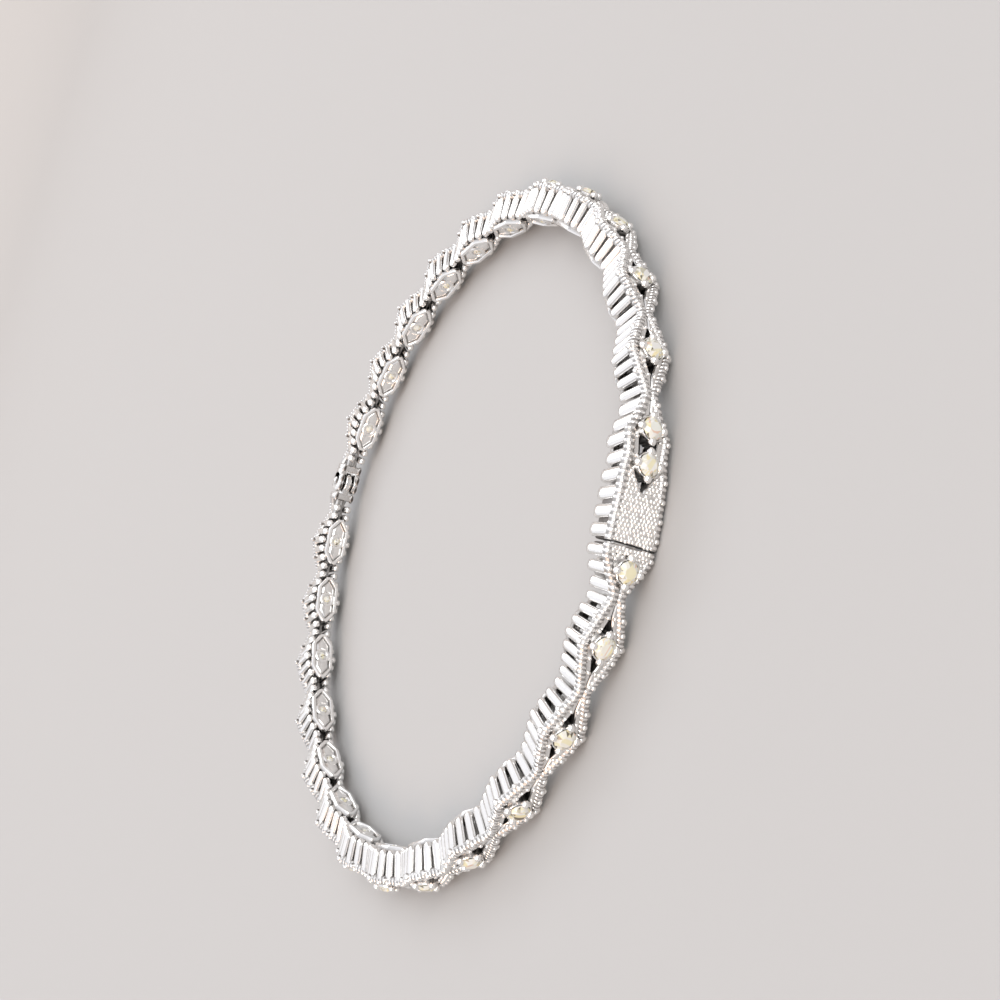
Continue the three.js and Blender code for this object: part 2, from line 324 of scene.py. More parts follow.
def block_rings(s, r, z, edge):
    """Rings of a block with round edges, from s[0] to s[1]."""
    bends = np.radians(np.linspace(0, 90, 4))
    first = [(s[0] + edge * (1 - math.cos(b)), edge * (1 - math.sin(b))) for b in bends]
    last = [(s[0] + s[1] - at, inset) for at, inset in first[::-1]]
    count = max(1, int((s[1] - s[0] - 2 * edge) / BLOCK_STEP))
    between = [(at, 0.0) for at in np.linspace(s[0] + edge, s[1] - edge, count + 1)[1:-1]]
    rings = []
    for at, inset in first + between + last:
        narrow, low = (r[0] + inset, r[1] - inset), (z[0] + inset, z[1] - inset)
        ring = rounded_ring(narrow, low, max(edge - inset, 0.02))
        rings.append(np.column_stack([np.full(len(ring), at), ring]))
    return np.array(rings)


def in_order(*values):
    """The lowest and highest of some values, for a block that runs either way."""
    return min(values), max(values)


# ---- node trees ----
class Value:
    """A socket that takes part in sums. Each operator adds one Math node to its tree."""

    def __init__(self, nodes, socket):
        self.nodes, self.socket = nodes, socket

    def math(self, operation, *terms, clamp=False):
        settings = {"operation": operation, "use_clamp": clamp}
        return self.nodes.add("ShaderNodeMath", settings, dict(enumerate(terms)))

    def __add__(self, other):
        return self.math("ADD", self, other)

    def __radd__(self, other):
        return self.math("ADD", other, self)

    def __sub__(self, other):
        return self.math("SUBTRACT", self, other)

    def __rsub__(self, other):
        return self.math("SUBTRACT", other, self)

    def __mul__(self, other):
        return self.math("MULTIPLY", self, other)

    def __rmul__(self, other):
        return self.math("MULTIPLY", other, self)

    def __truediv__(self, other):
        return self.math("DIVIDE", self, other)

    def __pow__(self, other):
        return self.math("POWER", self, other)

    def __abs__(self):
        return self.math("ABSOLUTE", self)

    def least(self, other):
        return self.math("MINIMUM", self, other)

    def fraction(self):
        return self.math("FRACT", self)

    def clamped(self):
        return self.math("ADD", self, 0.0, clamp=True)

    def ramp(self, low, high):
        """0 at low, 1 at high, and held there beyond them."""
        return self.math("MULTIPLY", self - low, 1 / (high - low), clamp=True)


class Nodes:
    """Writes nodes into one tree, a node to a call."""

    def __init__(self, tree):
        self.tree = tree

    def add(self, kind, settings=None, inputs=None, output=0):
        node = self.tree.nodes.new(kind)
        for key, value in (settings or {}).items():
            if key == "stops":
                self.set_stops(node.color_ramp, value)
            else:
                setattr(node, key, value)
        for key, value in (inputs or {}).items():
            self.feed(node.inputs[key], value)
        return Value(self, node.outputs[output]) if len(node.outputs) else node

    def feed(self, socket, value):
        if isinstance(value, Value):
            self.tree.links.new(value.socket, socket)
        else:
            socket.default_value = value

    def set_stops(self, ramp, stops):
        ramp.interpolation = "CONSTANT"
        while len(ramp.elements) < len(stops):
            ramp.elements.new(0.5)
        for element, (position, colour) in zip(ramp.elements, stops):
            element.position, element.color = position, colour

    def mix(self, factor, a, b):
        return self.add("ShaderNodeMix", {"data_type": "RGBA"}, {0: factor, 6: a, 7: b}, output=2)


# ---- finishes ----
def new_material(name):
    material = bpy.data.materials.new(name)
    material.use_nodes = True
    material.node_tree.nodes.clear()
    return material, Nodes(material.node_tree)


def finish_surface(nodes, constants, varying, bump=None):
    """A Principled surface: constants are set on its own sockets, varying values are linked to them."""
    surface = nodes.add("ShaderNodeBsdfPrincipled", {}, {**constants, **varying})
    if bump is not None:
        height, strength, distance = bump
        settings = {"Strength": strength, "Distance": distance, "Height": height}
        normal = nodes.add("ShaderNodeBump", {}, settings)
        nodes.feed(surface.socket.node.inputs["Normal"], normal)
    nodes.add("ShaderNodeOutputMaterial", {}, {"Surface": surface})


def silver_finish(name, bright, shaded, roughness):
    """White silver, greyed with painted shade in its hollows and behind other parts, with random mottling
    and fine wear marks.
    """
    material, nodes = new_material(name)
    place = nodes.add("ShaderNodeTexCoord", output=3)
    tarnish = nodes.add("ShaderNodeAttribute", {"attribute_name": "tarnish"}, output=2)
    cloud = nodes.add("ShaderNodeTexNoise", {}, {"Vector": place, "Scale": 420.0, "Detail": 4.0})
    grit = nodes.add("ShaderNodeTexNoise", {}, {"Vector": place, "Scale": 2600.0, "Detail": 5.0})
    # Painted shade, with a random cloud of mottling, mixes the silver towards the shade colour and
    # roughens it.
    shade_and_mottle = (tarnish + (cloud - 0.5) * 0.35).clamped()
    colour = nodes.mix(shade_and_mottle, bright, shaded)
    rough = roughness + grit.ramp(0.35, 0.75) * 0.12 + shade_and_mottle * 0.35
    constants = {"Metallic": 1.0, "IOR": 1.5}
    wear = (grit, 0.12, 0.00004)  # height, strength and distance in metres
    finish_surface(nodes, constants, {"Base Color": colour, "Roughness": rough}, wear)
    return material


def stone_finish(name, painted_glints):
    """A clear cut stone. Each facet has its own painted reflection tint, which drifts from stone to
    stone.
    """
    material, nodes = new_material(name)
    place = nodes.add("ShaderNodeTexCoord", output=3)
    facet = nodes.add("ShaderNodeAttribute", {"attribute_name": "facet"}, output=2)
    drift = nodes.add("ShaderNodeTexNoise", {}, {"Vector": place, "Scale": 150.0, "Detail": 1.0})
    colour = nodes.add("ShaderNodeValToRGB", {"stops": painted_glints}, {0: (facet + drift * 5.0).fraction()})
    constants = {"Roughness": 0.02, "Coat Roughness": 0.02, "IOR": 1.9}
    constants.update({"Transmission Weight": 0.25, "Coat Weight": 0.5})
    finish_surface(nodes, constants, {"Base Color": colour})
    return material


# The second colour is the painted shade colour that hollows and hidden faces are mixed towards.
SILVER = silver_finish("white_silver", (0.95, 0.94, 0.925, 1), (0.09, 0.077, 0.068, 1), 0.1)
# Painted reflections and coloured flashes: each facet is coloured as the light it would throw back, dark,
# white or tinted.
PAINTED_FACET_LIGHT = [
    (0.0, (1.0, 0.99, 0.9, 1)),  # ivory
    (0.28, (1.0, 0.95, 0.66, 1)),  # pale yellow
    (0.42, (1.0, 1.0, 0.97, 1)),  # white
    (0.6, (0.66, 0.63, 0.48, 1)),  # olive grey
    (0.68, (0.18, 0.15, 0.1, 1)),  # dark
    (0.77, (1.0, 0.9, 0.55, 1)),  # yellow
    (0.87, (0.97, 1.0, 0.94, 1)),  # green white
    (0.96, (0.95, 0.66, 0.52, 1)),  # rose
]
CLEAR = stone_finish("clear_cut_stone", PAINTED_FACET_LIGHT)


# ---- pieces that repeat, set by geometry nodes ----
def link_to_scene(obj):
    bpy.context.scene.collection.objects.link(obj)


def new_tree(name, sizes):
    """A geometry node tree with its named inputs. Gives the tree, its writer and the inputs."""
    tree = bpy.data.node_groups.new(name, "GeometryNodeTree")
    tree.interface.new_socket("Geometry", in_out="OUTPUT", socket_type="NodeSocketGeometry")
    tree.interface.new_socket("Places", in_out="INPUT", socket_type="NodeSocketGeometry")
    for label, kind in sizes.items():
        tree.interface.new_socket(label, in_out="INPUT", socket_type="NodeSocket" + kind)
    nodes = Nodes(tree)
    entry = tree.nodes.new("NodeGroupInput")
    return tree, nodes, {socket.name: Value(nodes, socket) for socket in entry.outputs if socket.name}


def set_on_places(nodes, inputs, shape):
    """Copies a shape to each place, turned, leaned and sized as the place says, in one finish."""
    turn = nodes.add("GeometryNodeInputNamedAttribute", {"data_type": "FLOAT"}, {"Name": "turn"})
    lean = nodes.add("GeometryNodeInputNamedAttribute", {"data_type": "FLOAT"}, {"Name": "lean"})
    angles = nodes.add("ShaderNodeCombineXYZ", {}, {"X": lean, "Z": turn})
    rotation = nodes.add("FunctionNodeEulerToRotation", {}, {0: angles})
    size = nodes.add("GeometryNodeInputNamedAttribute", {"data_type": "FLOAT_VECTOR"}, {"Name": "size"})
    copies = {"Points": inputs["Places"], "Instance": shape, "Rotation": rotation, "Scale": size}
    copied = nodes.add("GeometryNodeInstanceOnPoints", {}, copies)
    plain = nodes.add("GeometryNodeRealizeInstances", {}, {"Geometry": copied})
    done = nodes.add("GeometryNodeSetMaterial", {}, {"Geometry": plain, "Material": inputs["Finish"]})
    nodes.add("NodeGroupOutput", {}, {"Geometry": done})


def with_painted_shade(nodes, shape, tarnish):
    """A shape that carries how much painted shade each of its points has."""
    settings = {"data_type": "FLOAT", "domain": "POINT"}
    stored = {"Geometry": shape, "Name": "tarnish", "Value": tarnish}
    return nodes.add("GeometryNodeStoreNamedAttribute", settings, stored)


def place_parts(nodes):
    """The X, Y and Z of each point."""
    place = nodes.add("GeometryNodeInputPosition")
    apart = nodes.add("ShaderNodeSeparateXYZ", {}, {0: place})
    return [Value(nodes, socket) for socket in apart.socket.node.outputs]


def edge_wire_tree():
    """A round wire along Y, from its domed tip at the wrist to its root in the cord."""
    sizes = {"Tip": "Float", "Root": "Float", "Thickness": "Float", "Height": "Float"}
    sizes["Finish"] = "Material"
    tree, nodes, inputs = new_tree("edge_wires", sizes)
    start = nodes.add("ShaderNodeCombineXYZ", {}, {"Y": inputs["Tip"]})
    end = nodes.add("ShaderNodeCombineXYZ", {}, {"Y": inputs["Root"]})
    line = nodes.add("GeometryNodeCurvePrimitiveLine", {}, {"Start": start, "End": end})
    line = nodes.add("GeometryNodeResampleCurve", {}, {"Curve": line, "Count": 8})
    share = nodes.add("GeometryNodeSplineParameter")
    length = inputs["Root"] - inputs["Tip"]
    dome = inputs["Thickness"] * 0.45
    # Points crowd towards the tip, where the wire rounds off.
    crowded = share ** 2.2
    along = nodes.add("ShaderNodeCombineXYZ", {}, {"Y": inputs["Tip"] + crowded * length})
    line = nodes.add("GeometryNodeSetPosition", {}, {"Geometry": line, "Position": along})
    _, out, up = place_parts(nodes)
    to_tip = 1 - ((out - inputs["Tip"]) / dome).least(1.0)
    rounding = (1.0001 - to_tip * to_tip) ** 0.5
    square = {"Width": inputs["Thickness"], "Height": inputs["Thickness"]}
    ring = nodes.add("GeometryNodeCurvePrimitiveQuadrilateral", {}, square)
    corner = {"Curve": ring, "Radius": inputs["Thickness"] * 0.32, "Count": 2}
    ring = nodes.add("GeometryNodeFilletCurve", {"mode": "POLY"}, corner)
    tube = {"Curve": line, "Profile Curve": ring, "Scale": rounding, "Fill Caps": True}
    wire = nodes.add("GeometryNodeCurveToMesh", {}, tube)
    squash = inputs["Height"] / inputs["Thickness"]
    flat = nodes.add("ShaderNodeCombineXYZ", {}, {"X": 1.0, "Y": 1.0, "Z": squash})
    wire = nodes.add("GeometryNodeTransform", {}, {"Geometry": wire, "Scale": flat})
    # Painted shade: the wire's flanks at mid-height, where the wires crowd together, are greyed, but not
    # near the tip.
    side = 1 - (abs(up) / inputs["Height"]).ramp(0.0, 0.22)
    behind_tip = ((out - inputs["Tip"]) / dome).ramp(0.9, 1.6)
    wire = with_painted_shade(nodes, wire, side * behind_tip * 0.8)
    wire = nodes.add("GeometryNodeSetShadeSmooth", {}, {"Geometry": wire})
    set_on_places(nodes, inputs, wire)
    return tree


def bead_tree(name, turn, shade_of):
    """A ball with its poles turned. shade_of gives its painted shade at a place along and outwards."""
    sizes = {"Radius": "Float", "Segments": "Int", "Rings": "Int", "Finish": "Material"}
    tree, nodes, inputs = new_tree(name, sizes)
    ball = {label: inputs[label] for label in ("Segments", "Rings", "Radius")}
    bead = nodes.add("GeometryNodeMeshUVSphere", {}, ball)
    bead = nodes.add("GeometryNodeTransform", {}, {"Geometry": bead, "Rotation": turn})
    along, out, _ = place_parts(nodes)
    bead = with_painted_shade(nodes, bead, shade_of(along / inputs["Radius"], out / inputs["Radius"]))
    bead = nodes.add("GeometryNodeSetShadeSmooth", {}, {"Geometry": bead})
    set_on_places(nodes, inputs, bead)
    return tree


def grain_shade(along, out):
    """Painted shade: bright on top and grey at the foot."""
    return 1 - out.ramp(-0.95, -0.25)


def ridge_shade(along, out):
    """Painted shade: bright on the crest, grey beside the neighbours and behind."""
    return (abs(along).ramp(0.6, 1.0) * 0.7 + (1 - out.ramp(-0.5, 0.1)) * 0.4).clamped()


def setting_tree():
    """Copies of a ready-made shape."""
    tree, nodes, inputs = new_tree("settings", {"Shape": "Object", "Finish": "Material"})
    shape = nodes.add("GeometryNodeObjectInfo", {}, {"Object": inputs["Shape"]}, output="Geometry")
    set_on_places(nodes, inputs, shape)
    return tree


WIRE_TREE = edge_wire_tree()
GRAIN_TREE = bead_tree("grains", (math.pi / 2, 0, 0), grain_shade)
RIDGE_TREE = bead_tree("ridges", (0, math.pi / 2, 0), ridge_shade)
SETTING_TREE = setting_tree()


def places_mesh(places):
    """Points with a turn, a size and a lean each.

    A row is (s, outwards, up, size), with the lean after them if there is one. A size is one number, or
    one for each axis.
    """
    mesh = bpy.data.meshes.new("places")
    mesh.from_pydata(hoop.place([row[:3] for row in places]).tolist(), [], [])
    turn = mesh.attributes.new("turn", "FLOAT", "POINT")
    lean = mesh.attributes.new("lean", "FLOAT", "POINT")
    size = mesh.attributes.new("size", "FLOAT_VECTOR", "POINT")
    for i, row in enumerate(places):
        turn.data[i].value = hoop.turn_at(row[0])
        lean.data[i].value = row[4] if len(row) > 4 else 0.0
        size.data[i].vector = row[3] if isinstance(row[3], tuple) else (row[3],) * 3
    return mesh


def grown(name, tree, places, given):
    """The plain mesh that a tree grows on a set of places, from the inputs that it is given."""
    seed = bpy.data.objects.new(name + "_places", places_mesh(places))
    link_to_scene(seed)
    modifier = seed.modifiers.new("grow", "NODES")
    modifier.node_group = tree
    for item in tree.interface.items_tree:
        if item.in_out == "INPUT" and item.name in given:
            modifier[item.identifier] = given[item.name]
    view = bpy.context.evaluated_depsgraph_get()
    done = seed.evaluated_get(view)
    mesh = bpy.data.meshes.new_from_object(done, preserve_all_data_layers=True, depsgraph=view)
    mesh.name = name
    bpy.data.objects.remove(seed)
    return mesh


def piece(name, mesh, body, finish, slot, *nodes):
    """A finished piece that rides on a body, and the CAD nodes that it stands for."""
    obj = bpy.data.objects.new(name, mesh)
    link_to_scene(obj)
    mesh.materials.clear()
    mesh.materials.append(finish)
    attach(obj, body)
    if nodes:
        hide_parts(*nodes)
    return obj


def set_beads(name, tree, places, segments, rings):
    """Silver beads, 1 mm in radius times the size of each place."""
    given = {"Radius": MM, "Segments": segments, "Rings": rings, "Finish": SILVER}
    return grown(name, tree, places, given)


def set_shapes(name, shape_mesh, places, finish):
    """Copies of a shape, made in mm round its own origin, at each place."""
    shape = bpy.data.objects.new("shape", shape_mesh)
    link_to_scene(shape)
    mesh = grown(name, SETTING_TREE, places, {"Shape": shape, "Finish": finish})
    bpy.data.objects.remove(shape)
    return mesh


# ---- the lattice ----
def above_and_below(s, out, up, *rest):
    """A place above the band's middle plane, and its mirror image below."""
    return [(s, out, side * up, *rest) for side in (1, -1)]


def cord_core(half, side, distance):
    """Section of the bar inside the ridged cord along an edge, the upper one (side 1) or lower (-1)."""
    around = np.linspace(0, 2 * math.pi, 10, endpoint=False)
    across, high = CORD["across"] * CORD["core"], CORD["high"] * CORD["core"]
    middle = side * (half.height(distance) - CORD["high"])
    return [(CORD_MIDDLE + across * math.sin(a), middle - high * math.cos(a)) for a in around]


def shaded_sheet(half, side, distance):
    """Section of the sheet that closes the band behind the edge wires, painted grey as shade."""
    top = max(half.height(distance) - SHEET_DEPTH, 0.1)
    low, high = sorted((side * top, side * (top - SHEET_WALL)))
    return [(SHEET[0], low), (SHEET[1], low), (SHEET[1], high), (SHEET[0], high)]


def inner_strip(half, side, distance):
    """Section of the bright strip inside a cord, which narrows the openings beside the stones."""
    back, face, bevel = INNER_STRIP["back"], INNER_STRIP["face"], INNER_STRIP["bevel"]
    inner = max(half.opening(distance), 0.02)
    top = max(half.height(distance) - INNER_STRIP["edge"], inner + 0.1)
    section = [(back, inner), (face - bevel, inner), (face, inner + bevel), (face, top), (back, top)]
    return [(out, side * up) for out, up in section][::side]


def lattice(half):
    """The cores of both cords, with the sheets and strips inside them."""
    shape = Shape(hoop.place)
    start, end = half.block_end, half.block_start
    for side in (1, -1):
        # The last entry of each bar is its painted shade: the strip's hidden faces, the cord cores and
        # the sheet are greyed.
        bars = [
            (inner_strip, start - LAP, end + LAP, [0.9, 0.55, 0.05, 0.3, 0.9][::side]),
            (cord_core, SEAM_GAP / 2, end + 2 * LAP, 0.6),
            (shaded_sheet, start - 1.5 * LAP, end + LAP, 0.6),
        ]
        for section, first, last, tarnish in bars:
            rings = []
            # The rings follow s upwards on both halves, so that the faces look outwards.
            for distance in np.arange(first, last, STATION)[:: half.way]:
                points = section(half, side, distance)
                rings.append([(half.way * distance, out, up) for out, up in points])
            shape.loft(rings, tarnish)
    return shape


def edge_wires(half):
    """The comb of wires along both edges. They splay where the band is narrow."""
    rows = []
    for distance, room in half.wires():
        height = half.height(distance)
        size = (room * WIRES_PER_LINK / half.pitch, 1.0, 1.0)
        splay = WIRE_SPLAY * min(max((CORNER - height) / (CORNER - WAIST), 0.0), 1.0)
        lean = math.asin(splay / (WIRE_ROOT - WIRE_TIP))
        up = height - CORD["high"] + WIRE_ROOT * math.sin(lean)
        rows += [(half.way * distance, 0.0, side * up, size, -side * lean) for side in (1, -1)]
    given = {"Tip": WIRE_TIP * MM, "Root": WIRE_ROOT * MM, "Thickness": WIRE_THICKNESS * MM}
    given.update({"Height": WIRE_HEIGHT * MM, "Finish": SILVER})
    return grown(half.body + "_edge_wires", WIRE_TREE, rows, given)


def cord_ridges(half):
    """The fine ridges across the cords along both edges."""
    rows = []
    for distance, room in half.wires():
        step = room / RIDGES_PER_WIRE
        size = (step * RIDGE_WIDTH / 2, CORD["across"], CORD["high"])
        for i in (-1, 0, 1):
            at = distance + i * step
            up = half.height(at) - CORD["high"]
            rows += above_and_below(half.way * at, CORD_MIDDLE, up, size)
    return set_beads(half.body + "_cord_ridges", RIDGE_TREE, rows, 10, 5)


def beads(half):
    """The beads over the wires' roots, along the inner strips and at the links' corners."""
    rows = []
    for distance, _ in half.wires():
        s = half.way * distance
        up = half.height(distance) - CORD["high"] + HEAD["up"]
        rows += above_and_below(s, CORD_MIDDLE + HEAD["out"], up, HEAD["radius"])
        on_strip = half.opening(distance) + INNER_STRIP["width"] * 0.45
        if on_strip > 0.1 and half.block_end + STRIP_CLOSES < distance < half.block_start:
            rows += above_and_below(s, INNER_STRIP["face"], on_strip, STRIP_GRAIN)
    for centre in half.centres:
        for share, inset, size in EDGE_BEADS:
            distance = centre + share * half.pitch
            rows += above_and_below(half.way * distance, CORD_MIDDLE, half.height(distance) - inset, size)
    return set_beads(half.body + "_beads", GRAIN_TREE, rows, 9, 6)


# ---- the stones ----
BACK_POINT = FRAME_FACE + 0.3  # the level that heights on a stone's wrist-side point are counted from


def cut_shape(rings):
    """A faceted stone: the hull of rings of (sides, radius, height, turn), its axis along Y."""
    bm = bmesh.new()
    for sides, radius, height, turn in rings:
        for i in range(sides):
            angle = 2 * math.pi * (i + turn) / sides
            bm.verts.new(Vector((radius * math.sin(angle), height, radius * math.cos(angle))) * MM)
    hull = bmesh.ops.convex_hull(bm, input=bm.verts)
    bmesh.ops.delete(bm, geom=list(set(hull["geom_interior"])), context="VERTS")
    bmesh.ops.dissolve_limit(bm, angle_limit=0.02, verts=bm.verts, edges=bm.edges)
    bmesh.ops.recalc_face_normals(bm, faces=bm.faces)
    mesh = bpy.data.meshes.new("cut")
    bm.to_mesh(mesh)
    bm.free()
    return mesh


def brilliants(half):
    """The round centre stones, each with the stone's point that shows at the wrist side of its tube."""
    radius = STONE_RADIUS
    front = [
        (8, 0.55 * radius, 0.36 * radius, 0.5),
        (8, 0.8 * radius, 0.2 * radius, 0.0),
        (16, radius, 0.03 * radius, 0.0),
        (16, radius, -0.03 * radius, 0.0),
        (8, 0.55 * radius, -0.36 * radius, 0.5),
        (1, 0.0, -0.7 * radius, 0.0),
    ]
    point = [(8, 0.46, -0.06, 0.0), (8, 0.3, -0.24, 0.5), (6, 0.12, -0.32, 0.0), (8, 0.46, 0.1, 0.0)]
    cut, back = cut_shape(front), cut_shape(point)
    joined = bmesh.new()
    joined.from_mesh(cut)
    first = len(joined.verts)
    joined.from_mesh(back)
    joined.verts.ensure_lookup_table()
    drop = (BACK_POINT - GIRDLE) * MM
    bmesh.ops.translate(joined, vec=(0, drop, 0), verts=joined.verts[first:])
    joined.to_mesh(cut)
    joined.free()
    facet = cut.attributes.new("facet", "FLOAT", "FACE")
    facet.data.foreach_set("value", [i * 0.618 % 1 for i in range(len(cut.polygons))])
    rows = [(half.way * distance, GIRDLE, 0.0, 1.0) for distance in half.stones]
    return set_shapes(half.body + "_stones", cut, rows, CLEAR)


def collet_shape():
    """The tube under a stone, turned from rows of radius, place outwards and painted shade."""
    shape = Shape()
    back = FRAME_FACE
    rim = [(0.45, back + 0.1, 0.3), (0.52, back + 0.03, 0.0), (0.68, back + 0.02, 0.0)]
    rim += [(0.8, back + 0.1, 0.1), (0.85, back + 0.3, 0.3)]
    outside = [(0.7, -0.4, 0.5), (0.76, 0.35, 0.7), (0.9, 0.7, 0.9), (0.93, 1.4, 0.35)]
    mouth = [(0.93, 1.55, 0.0), (0.88, 1.6, 0.0), (0.82, 1.56, 0.0), (0.66, 1.1, 0.1)]
    inside = [(0.42, 0.7, 0.3), (0.42, -0.8, 0.5)]
    profile = rim + outside + mouth + inside
    shape.turned([row[:2] for row in profile], 20, [row[2] for row in profile], closed=True)
    return shape.mesh("collet")


def prong_shape():
    """A post that ends in a bead over the stone's edge."""
    shape = Shape()
    slopes = np.radians([-50, -25, 0, 25, 50, 75])
    bead = [(PRONG_RADIUS * math.cos(slope), PRONG_RADIUS * math.sin(slope)) for slope in slopes]
    profile = [(0.14, -1.0), (0.14, -0.25)] + bead + [(0.02, PRONG_RADIUS)]
    # Painted shade greys the post below the bead.
    shape.turned(profile, 12, [0.8, 0.8, 0.5, 0.2, 0, 0, 0, 0, 0])
    return shape.mesh("prong")


def stone_settings(half):
    """The collet and four prongs of each stone."""
    collets = [(half.way * distance, 0.0, 0.0, 1.0) for distance in half.stones]
    prongs = []
    for distance in half.stones:
        s = half.way * distance
        prongs += [(s + way * PRONG_REACH, PRONG_OUT, 0.0, 1.0) for way in (1, -1)]
        prongs += [(s, PRONG_OUT, way * PRONG_REACH, 1.0) for way in (1, -1)]
    name = half.body + "_"
    return [
        set_shapes(name + "collets", collet_shape(), collets, SILVER),
        set_shapes(name + "prongs", prong_shape(), prongs, SILVER),
    ]


# ---- the wrist side ----
# A frame's corners: half its length, where its slanted ends begin, half its height there and at its tips.
FRAME_OUTLINE = {"half": 2.45, "shoulder": 1.25, "height": 1.1, "end": 0.28}
LONG_FRAME = 3.05  # half the length of the frame behind two stones
FRAME_ROUNDING = 0.14
# Rings round a frame, and round its floor: inset, place outwards, painted shade.
FRAME_SECTION = [
    (0.05, FRAME_BACK, 0.9),
    (0.0, FRAME_BACK - 0.06, 0.7),
    (0.0, FRAME_FACE + 0.1, 0.1),
    (0.07, FRAME_FACE, 0.0),
    (0.29, FRAME_FACE, 0.0),
    (0.36, FRAME_FACE + 0.08, 0.1),
    (0.38, FRAME_FACE + 0.2, 0.3),
    (0.38, FRAME_BACK, 0.5),
]
FRAME_FLOOR = [
    (0.3, FRAME_FACE + 0.42, 0.9),
    (0.3, FRAME_FACE + 0.34, 0.9),
    (0.4, FRAME_FACE + 0.32, 0.6),
    (0.62, FRAME_FACE + 0.16, 0.1),
    (0.72, FRAME_FACE + 0.13, 0.05),
]


def frame_ring(half_length, inset, out):
    """The frame's outline with round corners, drawn in by inset, as points round the Y axis."""
    shoulder = half_length - (FRAME_OUTLINE["half"] - FRAME_OUTLINE["shoulder"])
    tall, low = FRAME_OUTLINE["height"] - inset, max(FRAME_OUTLINE["end"] - inset * 0.6, 0.06)
    long = half_length - inset
    corners = [(long, -low), (long, low), (shoulder, tall), (-shoulder, tall)]
    corners += [(-long, low), (-long, -low), (-shoulder, -tall), (shoulder, -tall)]
    points = []
    corners = [np.array(corner) for corner in corners]
    cut = min(FRAME_ROUNDING, low)
    for i, here in enumerate(corners):
        before, after = corners[i - 1], corners[(i + 1) % len(corners)]
        start = here + (before - here) / np.linalg.norm(before - here) * cut
        end = here + (after - here) / np.linalg.norm(after - here) * cut
        for t in (0.0, 0.5, 1.0):
            points.append((1 - t) ** 2 * start + 2 * t * (1 - t) * here + t * t * end)
    return np.array([(x, out, z) for x, z in points])


def back_frame_shape(half_length):
    """A six-sided frame with round edges and a sloped floor."""
    shape = Shape()
    for section, closed in ((FRAME_SECTION, True), (FRAME_FLOOR, False)):
        # Rings run towards the wrist, so each is listed anticlockwise as seen from there.
        rings = [frame_ring(half_length, inset, out) for inset, out, _ in section]
        shape.loft(rings, [row[2] for row in section], closed)
    return shape.mesh("back_frame")


def back_frames(half):
    """A frame behind each link, and a long one behind the two stones beside the clasp box."""
    single = [(half.way * centre, 0.0, 0.0, 1.0) for centre in half.centres]
    frame_shape = back_frame_shape(FRAME_OUTLINE["half"])
    meshes = [set_shapes(half.body + "_back_frames", frame_shape, single, SILVER)]
    loose = [stone for stone in half.stones if stone not in half.centres]
    if len(loose) == 2:
        between = [(half.way * sum(loose) / 2, 0.0, 0.0, 1.0)]
        long_shape = back_frame_shape(LONG_FRAME)
        meshes.append(set_shapes(half.body + "_long_frame", long_shape, between, SILVER))
    return meshes


# ---- the clasp ----
CLASP_DEPTH = (-0.92, CORD_MIDDLE + 0.1)
CLASP_HALF = 1.68  # half the height of the clasp's body between its edge wires
CLASP_EDGE = 0.16
BODY_SHADE = [0.9] * 10 + [0.5, 0.2, 0.2, 0.5, 0.9, 0.9]  # painted shade round a ring: grey, but bright at the wrist
PANEL = {"floor": 0.72, "face": FACE - 0.1, "half": 1.62, "edge": 0.1}
PANEL_PLACES = {
    "box_half": (-3.5, -SEAM_GAP / 2 - 0.02),
    "tongue_half": (SEAM_GAP / 2 + 0.02, SEAM_GAP / 2 + 0.55),
}
SLIGHT_SHADE = 0.15  # painted shade of the panels and the tongue
GRAINS = {"apart": 0.3, "shift": 0.05, "radii": (0.15, 0.21)}


def clasp_body(s):
    """Rings of the clasp's body from s[0] to s[1]."""
    return block_rings(s, CLASP_DEPTH, (-CLASP_HALF, CLASP_HALF), CLASP_EDGE)


def add_panel(shape, body):
    """The raised panel that the grains are set on."""
    across, up = (PANEL["floor"], PANEL["face"]), (-PANEL["half"], PANEL["half"])
    shape.loft(block_rings(PANEL_PLACES[body], across, up, PANEL["edge"]), SLIGHT_SHADE)


def clasp_box():
    """The box that the tongue goes into, open at the seam."""
    shape = Shape(hoop.place)
    add_panel(shape, "box_half")
    body = clasp_body((-BOX_LENGTH, -SEAM_GAP / 2))
    room_r, room_z = TONGUE["r"] + TONGUE_ROOM["r"], TONGUE["z"] + TONGUE_ROOM["z"]
    deep = -(SEAM_GAP / 2 + TONGUE["length"] + TONGUE_ROOM["end"])
    mouth = rounded_ring((-room_r, room_r), (-room_z, room_z), CLASP_EDGE)
    # Painted shade: the room darkens inwards from its mouth, and the body's first rings, at its end away
    # from the seam, are grey all round.
    inwards = [(-SEAM_GAP / 2, 0.4), (-SEAM_GAP / 2 - 0.08, 0.8), (deep, 1.0)]
    room = [np.column_stack([np.full(RING, at), mouth]) for at, _ in inwards]
    tarnish = [[0.9] * RING] * 4 + [BODY_SHADE] * (len(body) - 4)
    tarnish += [[shaded] * RING for _, shaded in inwards]
    shape.loft(list(body) + room, tarnish)
    return shape


def closing_plate_and_tongue():
    """The plate that meets the box, and the folded tongue that goes into it."""
    shape = Shape(hoop.place)
    shape.loft(clasp_body((SEAM_GAP / 2, SEAM_GAP / 2 + PLATE)), BODY_SHADE)
    add_panel(shape, "tongue_half")
    r, z = TONGUE["r"], TONGUE["z"]
    tip, root = SEAM_GAP / 2 - TONGUE["length"], SEAM_GAP / 2 + PLATE / 2
    slit = 0.08  # half the gap between the tongue's two leaves
    shape.loft(block_rings((tip, root), (-r, -slit), (-z, z), 0.12), SLIGHT_SHADE)
    shape.loft(block_rings((tip + 0.05, root), (slit, r), (-z, z), 0.12), SLIGHT_SHADE)
    shape.loft(block_rings((tip, tip + 0.4), (-r, r), (-z, z), 0.15), SLIGHT_SHADE)
    return shape


